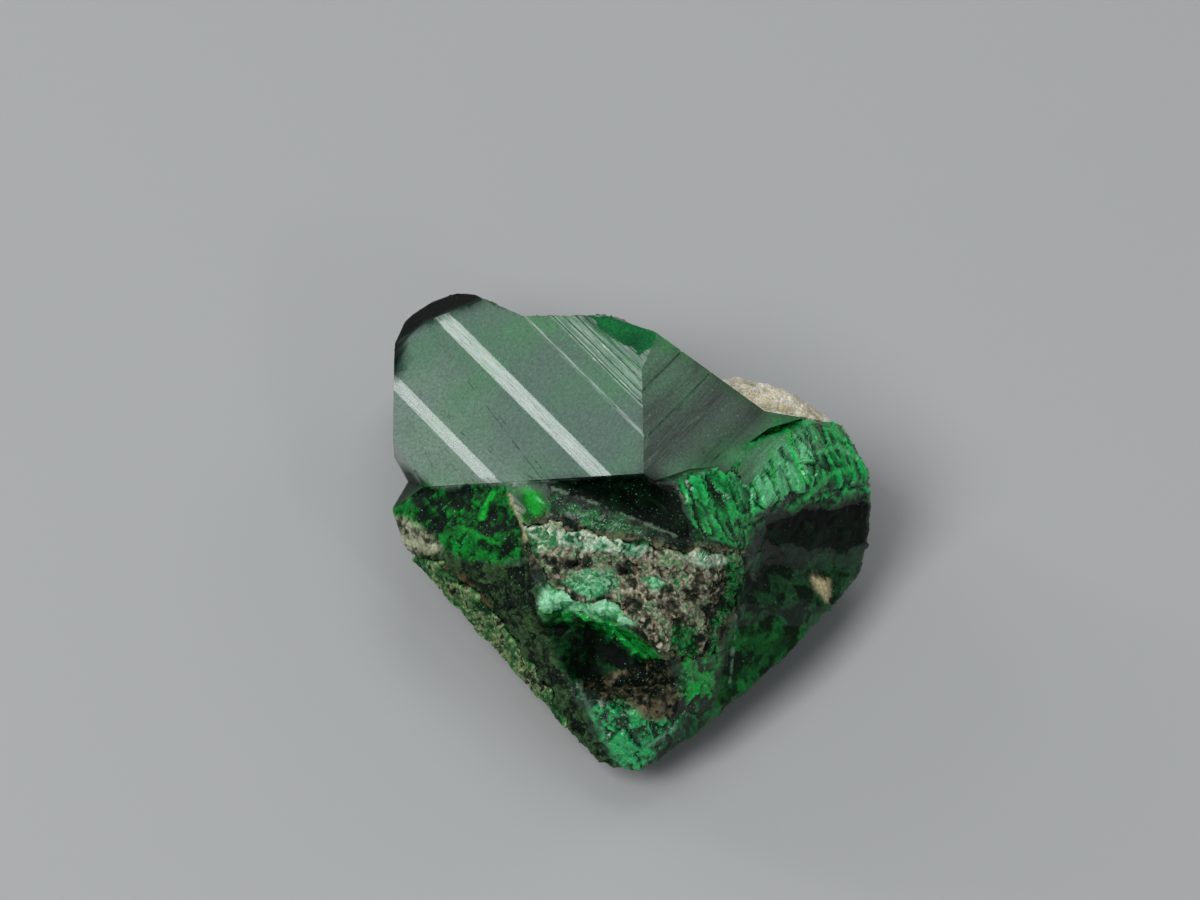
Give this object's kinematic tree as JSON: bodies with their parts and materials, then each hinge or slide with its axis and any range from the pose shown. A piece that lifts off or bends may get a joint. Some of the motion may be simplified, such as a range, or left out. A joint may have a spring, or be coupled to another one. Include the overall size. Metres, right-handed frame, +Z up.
{
  "type": "uvarovite garnet crystal",
  "caption": "Broken dark green garnet crystal with flat striped growth faces, a glassy chipped lower mass and remnants of pale host rock.",
  "frame": {"origin": "centre of the bounding box at the flat broken underside that the stone lies on", "axes": "+Z up from that underside, +Y away from the viewer towards the broken rear, +X to the viewer's right"},
  "size_m": [0.0108, 0.0124, 0.0069],
  "materials": {
    "garnet": "glassy, translucent at thin edges, dark green",
    "speckled_rock": "grained, matt, beige and grey with mint green grains",
    "cream_rock": "fine grained, matt, cream white",
    "olive_rock": "weathered, matt, olive and brown"
  },
  "bodies": {
    "root": {"garnet_crystal": "garnet", "host_rock_crust": "speckled_rock", "host_rock_edge": "cream_rock", "host_rock_flank": "olive_rock"}
  },
  "joints": []
}
